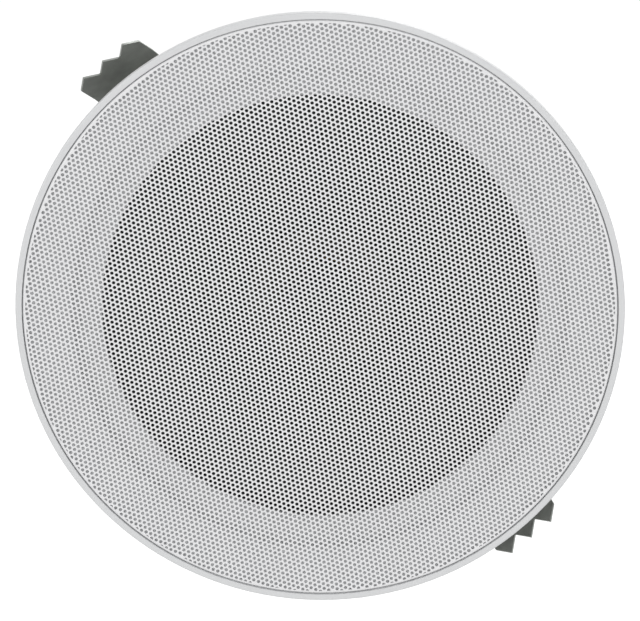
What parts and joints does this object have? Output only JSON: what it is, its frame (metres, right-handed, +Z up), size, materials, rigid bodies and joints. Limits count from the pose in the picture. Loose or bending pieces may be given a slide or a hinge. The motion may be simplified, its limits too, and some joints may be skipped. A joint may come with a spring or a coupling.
{
  "type": "in ceiling speaker",
  "caption": "Round in-ceiling loudspeaker: perforated grille in a thin rim, cone driver with a ring magnet behind it, terminal block, and toothed spring clamps for the ceiling board.",
  "frame": {"origin": "centre of the ceiling cut-out, in the plane where the flange seats on the ceiling", "axes": "+Y goes into the ceiling, away from the grille; +Z is up and +X right in the picture, looking at the grille"},
  "size_m": [0.23, 0.0736, 0.23],
  "materials": {
    "white_plastic": "fine satin moulding",
    "white_sheet": "satin powder coat",
    "black_sheet": "satin black coat",
    "gasket_rubber": "matte foam",
    "surround_rubber": "matte",
    "cone_paper": "pressed paper",
    "whizzer_paper": "pressed paper",
    "cap_cloth": "treated cloth",
    "former_film": "thin film",
    "copper_wire": "enamelled wire",
    "spider_cloth": "resin-treated cloth",
    "zinc_steel": "zinc-plated",
    "ferrite": "ground ferrite",
    "rivet_steel": "plated",
    "black_screws": "black-plated",
    "board_laminate": "laminate",
    "tinned_brass": "tinned",
    "braided_copper": "braided",
    "spring_steel": "dark phosphate",
    "black_plastic": "satin moulding",
    "contact_brass": "drawn bar",
    "screw_steel": "plated",
    "red_insulation": "soft insulation",
    "black_insulation": "soft insulation"
  },
  "bodies": {
    "housing": {"frame": "white_plastic", "grille": "white_sheet", "basket": "black_sheet", "driver_gasket": "gasket_rubber", "surround": "surround_rubber", "spider": "spider_cloth", "top_plate": "zinc_steel", "magnet": "ferrite", "yoke": "zinc_steel", "basket_rivets": "rivet_steel", "driver_screws": "black_screws", "lug_board": "board_laminate", "solder_lugs": "tinned_brass", "board_rivet": "rivet_steel", "tinsel_leads": "braided_copper", "clamp_upper": "spring_steel", "clamp_lower": "spring_steel", "clamp_rivets": "rivet_steel", "clamp_backings": "zinc_steel", "terminal_block": "black_plastic", "contact_bars": "contact_brass", "terminal_screws": "screw_steel", "block_screws": "screw_steel", "lead_red": "red_insulation", "lead_black": "black_insulation"},
    "moving_cone": {"cone": "cone_paper", "whizzer_cone": "whizzer_paper", "dust_cap": "cap_cloth", "coil_former": "former_film", "coil_winding": "copper_wire"}
  },
  "joints": [
    {"name": "cone_travel", "type": "slide", "parent": "housing", "child": "moving_cone", "axis": [0, -1, 0], "range_m": [-0.003, 0.003], "stiffness_N_per_m": 2300}
  ]
}
